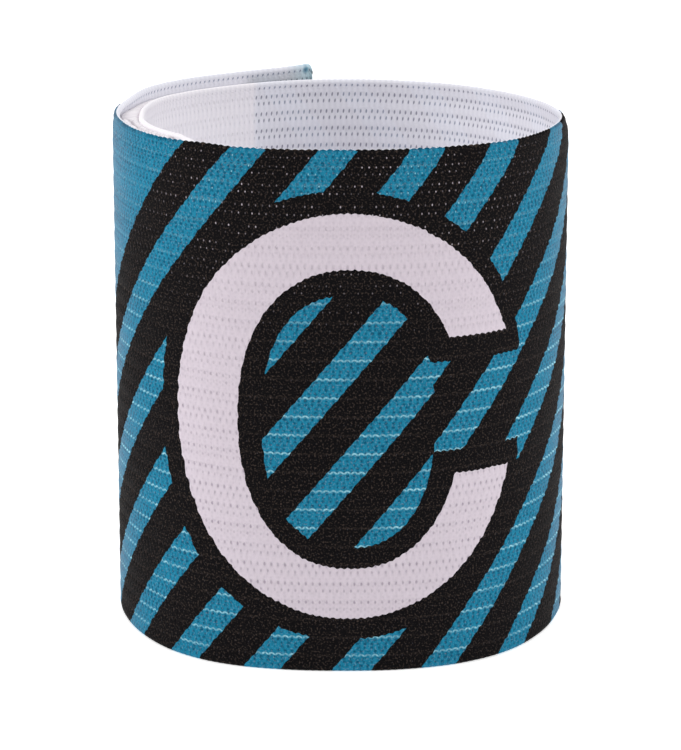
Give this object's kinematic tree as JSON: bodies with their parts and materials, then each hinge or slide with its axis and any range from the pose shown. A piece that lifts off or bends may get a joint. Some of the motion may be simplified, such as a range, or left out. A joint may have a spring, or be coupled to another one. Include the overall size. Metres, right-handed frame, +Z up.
{
  "type": "captain armband",
  "caption": "Wide band of printed elastic knit, wound over its own end and closed by a hook-and-loop fastener, worn round the upper arm.",
  "frame": {"origin": "on the surface that the armband stands on, under the middle of its box", "axes": "+Z up along the arm, -Y towards the middle of the print, +X to the right of one who looks at the print"},
  "size_m": [0.076, 0.0818, 0.0874],
  "materials": {
    "printed_knit": "matte",
    "loop_pile": "matte",
    "hook_tape": "satin"
  },
  "bodies": {
    "root": {"knit_band": "printed_knit", "loop_patch": "loop_pile", "hook_patch": "hook_tape"}
  },
  "joints": []
}
